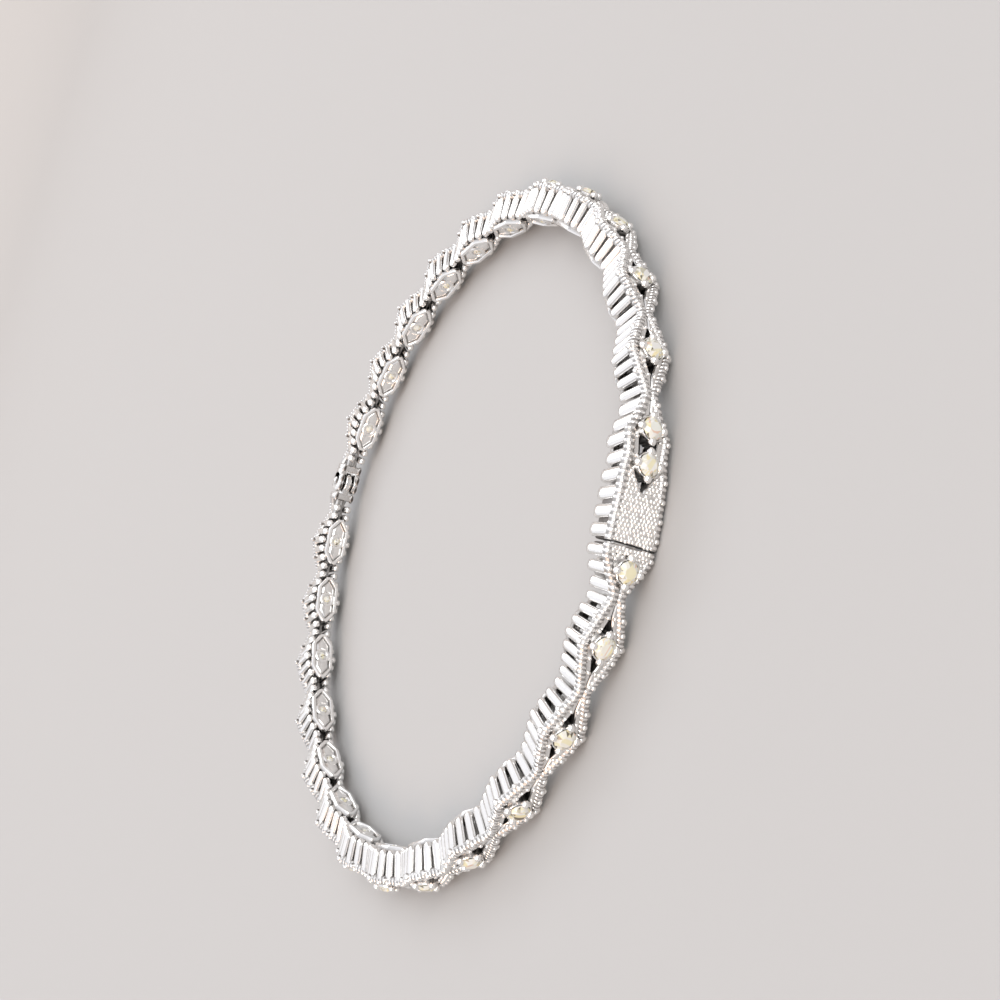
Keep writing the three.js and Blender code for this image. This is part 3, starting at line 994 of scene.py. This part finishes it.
def panel_grains(half):
    """Grains of many sizes, set close over the clasp's panel and on round the first opening."""
    luck = np.random.default_rng(11)
    rows, step = [], GRAINS["apart"]
    lines = np.arange(SEAM_GAP / 2 + 0.17, half.block_end + STRIP_CLOSES, step * 0.87)
    for i, distance in enumerate(lines):
        for up in np.arange(-PANEL["half"] + 0.12 + (i % 2) * step / 2, PANEL["half"] - 0.1, step):
            shift = luck.uniform(-GRAINS["shift"], GRAINS["shift"], 2)
            at, high, size = distance + shift[0], up + shift[1], luck.uniform(*GRAINS["radii"])
            from_stone = min(math.hypot(at - stone, high) for stone in half.stones)
            inner, outer = half.opening(at) + 0.14, half.height(at) - INNER_STRIP["edge"] - 0.05
            if at < half.block_end - 0.1:
                rows.append((half.way * at, PANEL["face"] - 0.07, high, size))
            elif inner < abs(high) < outer and from_stone > PRONG_REACH + 0.22:
                rows.append((half.way * at, INNER_STRIP["face"] - 0.04, high, size))
    return rows


# ---- the hinge ----
HINGE_DEPTH = (-0.6, 0.95)
HINGE_EDGE = 0.15
HINGE_SHADE = 0.35  # painted shade of the plates and arms
NECK = {"half": 0.45, "depth": (-0.1, 0.9), "start": 0.4}
ARM_EDGE = 0.12
ARM_LAP = 0.3  # how far the arms reach into the plate
PIN_HEAD = {"r": 0.25, "size": (0.46, 0.46, 0.2)}
LOBE = {"plate": -0.5, "knuckle": -0.75, "apart": 0.5, "z": 0.85, "size": (0.5, 0.26, 0.24)}
OUTER_LEVEL = KNUCKLE["half"] + KNUCKLE["gap"]
KNUCKLE_LEVELS = {
    "tongue_half": [(-KNUCKLE["half"], KNUCKLE["half"])],
    "box_half": [(-HINGE_HALF, -OUTER_LEVEL), (OUTER_LEVEL, HINGE_HALF)],
}


def knuckle_profile(bottom, top):
    """Rows of radius, height and painted shade, up the outside of a knuckle with rounded rims, which are
    left bright while the faces and bore are greyed.
    """
    radius, hole, edge = KNUCKLE["radius"], 0.3, HINGE_EDGE
    return [
        (hole, bottom, 0.7),
        (radius - edge, bottom, 0.5),
        (radius, bottom + edge, 0.1),
        (radius, top - edge, 0.1),
        (radius - edge * 0.4, top - edge * 0.4, 0.0),
        (radius - edge, top, 0.0),
        (radius - 2 * edge, top, 0.3),
        (hole, top, 0.7),
    ]


def hinge_end(half):
    """The neck and plate that close a half, and the arms and knuckles that turn on the pin."""
    way, levels = half.way, KNUCKLE_LEVELS[half.body]
    axis = way * half.distance(HINGE)
    reach = KNUCKLE["radius"] + KNUCKLE["clear"]
    near, far = axis - way * reach, axis - way * (reach + PLATE)
    shape = Shape(hoop.place)
    plate = block_rings(in_order(near, far), HINGE_DEPTH, (-HINGE_HALF, HINGE_HALF), CLASP_EDGE)
    shape.loft(plate, HINGE_SHADE)
    neck = in_order(way * (half.last_waist - NECK["start"]), near - way * PLATE / 2)
    # The neck is greyed with painted shade.
    shape.loft(block_rings(neck, NECK["depth"], (-NECK["half"], NECK["half"]), ARM_EDGE), 0.5)
    centre_r = (Vector((HINGE.x, HINGE.y)).length - Vector(hoop.axes(axis)[0] * MM).length) / MM
    depth = (centre_r - KNUCKLE["arm"], centre_r + KNUCKLE["arm"])
    for level in levels:
        arm = in_order(near - way * ARM_LAP, axis)
        shape.loft(block_rings(arm, depth, level, ARM_EDGE), HINGE_SHADE)
    knuckles = Shape()
    for low, high in levels:
        profile = knuckle_profile(low + MIDDLE, high + MIDDLE)
        shade = [row[2] for row in profile]
        knuckles.turned([row[:2] for row in profile], 32, shade, closed=True, axis="z")
    shape.join(knuckles, (HINGE.x, HINGE.y, 0.0))
    return shape


def hinge_lobes(half):
    """The long drops that carry the edge on to the hinge, and the heads of the pin."""
    axis = half.distance(HINGE)
    places = [(half.block_start + PLATE / 2, LOBE["plate"])]
    holds_pin = half.body == "box_half"
    if holds_pin:
        places += [(axis + way * LOBE["apart"], LOBE["knuckle"]) for way in (-1, 1)]
    rows = []
    for distance, out in places:
        rows += above_and_below(half.way * distance, out, LOBE["z"], LOBE["size"])
    if holds_pin:
        rows += above_and_below(half.way * axis, PIN_HEAD["r"], HINGE_HALF, PIN_HEAD["size"])
    return set_beads(half.body + "_hinge_lobes", GRAIN_TREE, rows, 12, 8)


# ---- all the pieces ----
def build_half(half):
    """Every piece that a half has, whichever half it is."""
    body = half.body
    piece(body + "_lattice", lattice(half).mesh(body + "_lattice"), body, SILVER, "silver", body)
    meshes = [edge_wires(half), cord_ridges(half), beads(half), *stone_settings(half), *back_frames(half)]
    meshes += [hinge_end(half).mesh(body + "_hinge_end"), hinge_lobes(half)]
    for mesh in meshes:
        piece(mesh.name, mesh, body, SILVER, "silver")
    piece(body + "_stones", brilliants(half), body, CLEAR, "clear_stone", *half.stone_nodes)


for half in HALVES:
    build_half(half)
piece("clasp_box", clasp_box().mesh("clasp_box"), "box_half", SILVER, "silver")
piece("tongue", closing_plate_and_tongue().mesh("tongue"), "tongue_half", SILVER, "silver")
for half in HALVES[::-1]:
    name = half.body + "_panel_grains"
    piece(name, set_beads(name, GRAIN_TREE, panel_grains(half), 8, 6), half.body, SILVER, "silver")

pin = frame["nodes"]["hinge_pin"]
pin.data.materials.clear()
pin.data.materials.append(SILVER)


# ---- floor, light and camera ----
FLOOR_COLOUR = (0.46, 0.457, 0.452, 1)
FLOOR_SIDES = 64
FLOOR_REACH = 700  # from the bangle to the foot of the wall, in mm
WALL_BEND = (500, 520)  # outwards and upwards, in mm

# Each light: where it comes from, its width in degrees, its power and its colour.
LIGHTS = {
    "key": ((0.5, -1.0, 0.9), 50, 1.3, (1.0, 0.985, 0.96)),
    "warm": ((-1.0, -0.7, 0.8), 40, 1.1, (1.0, 0.7, 0.5)),
    "back": ((0.4, 1.0, 0.6), 40, 0.6, (0.95, 0.97, 1.0)),
}
SKY = {"Color": (0.5, 0.5, 0.52, 1), "Strength": 1.8}
EXPOSURE = 0.15

CAMERA_DEGREES = (-3.36, 24.74, 74.1)  # azimuth, elevation and roll
CAMERA_DISTANCE = 105.62  # from the hoop's centre, in mm
CAMERA_AIM = (2.49, -8.82, MIDDLE)
SENSOR_WIDTH = 36.0
LENS = 1.2102  # focal length as a share of the sensor's width


def studio():
    """A pale floor that curves up into a wall, far off all round."""
    material, nodes = new_material("pale_floor")
    finish_surface(nodes, {"Base Color": FLOOR_COLOUR, "Roughness": 0.8}, {})
    out, rise = WALL_BEND
    slopes = np.radians(np.linspace(0, 90, 10))
    bend = [(FLOOR_REACH + out * math.sin(slope), rise - rise * math.cos(slope)) for slope in slopes]
    profile = [(0.5, 0.0), (120, 0.0)] + bend
    angle = np.linspace(0, 2 * math.pi, FLOOR_SIDES, endpoint=False)
    circle = np.stack([np.cos(angle), np.sin(angle)], -1)
    rings = [np.column_stack([circle * r, np.full(FLOOR_SIDES, z)]) for r, z in profile]
    faces = [tuple(range(FLOOR_SIDES))]
    for row in range(len(rings) - 1):
        a, b = row * FLOOR_SIDES, (row + 1) * FLOOR_SIDES
        for i in range(FLOOR_SIDES):
            after = (i + 1) % FLOOR_SIDES
            faces.append((a + i, b + i, b + after, a + after))
    shape = Shape()
    shape.add(np.concatenate(rings), faces)
    floor = bpy.data.objects.new("floor", shape.mesh("floor", smooth=None))
    link_to_scene(floor)
    floor.data.materials.append(material)


def soft_light(name, towards, spread, power, colour):
    """A broad soft light from far off, as wide in degrees as spread says."""
    light = bpy.data.lights.new(name, "SUN")
    light.angle, light.energy, light.color = math.radians(spread), power, colour
    obj = bpy.data.objects.new(name, light)
    obj.location = Vector(towards).normalized() * 0.5
    obj.rotation_mode = "QUATERNION"
    obj.rotation_quaternion = (-obj.location).to_track_quat("-Z", "Y")
    link_to_scene(obj)


def camera():
    """Looks down over the clasp, turned so that the hoop stands up in the picture."""
    azimuth, elevation, roll = map(math.radians, CAMERA_DEGREES)
    level = math.cos(elevation)
    back = Vector((math.sin(azimuth) * level, -math.cos(azimuth) * level, math.sin(elevation)))
    eye = (back * CAMERA_DISTANCE + Vector((0, 0, MIDDLE))) * MM
    ahead = (Vector(CAMERA_AIM) * MM - eye).normalized()
    right = ahead.cross(Vector((0, 0, 1))).normalized()
    up = right.cross(ahead)
    across = math.cos(roll) * right - math.sin(roll) * up
    upward = math.sin(roll) * right + math.cos(roll) * up
    data = bpy.data.cameras.new("camera")
    data.sensor_width, data.lens = SENSOR_WIDTH, SENSOR_WIDTH * LENS
    data.clip_start, data.clip_end = 0.005, 10.0
    obj = bpy.data.objects.new("camera", data)
    turn = Matrix((across, upward, -ahead)).transposed()
    obj.matrix_world = Matrix.Translation(eye) @ turn.to_4x4()
    link_to_scene(obj)
    bpy.context.scene.camera = obj


studio()
for name, light in LIGHTS.items():
    soft_light(name, *light)
world = bpy.data.worlds.new("studio")
world.use_nodes = True
for label, value in SKY.items():
    world.node_tree.nodes["Background"].inputs[label].default_value = value
scene = bpy.context.scene
scene.world = world
scene.view_settings.view_transform = "Standard"
scene.view_settings.exposure = EXPOSURE
camera()
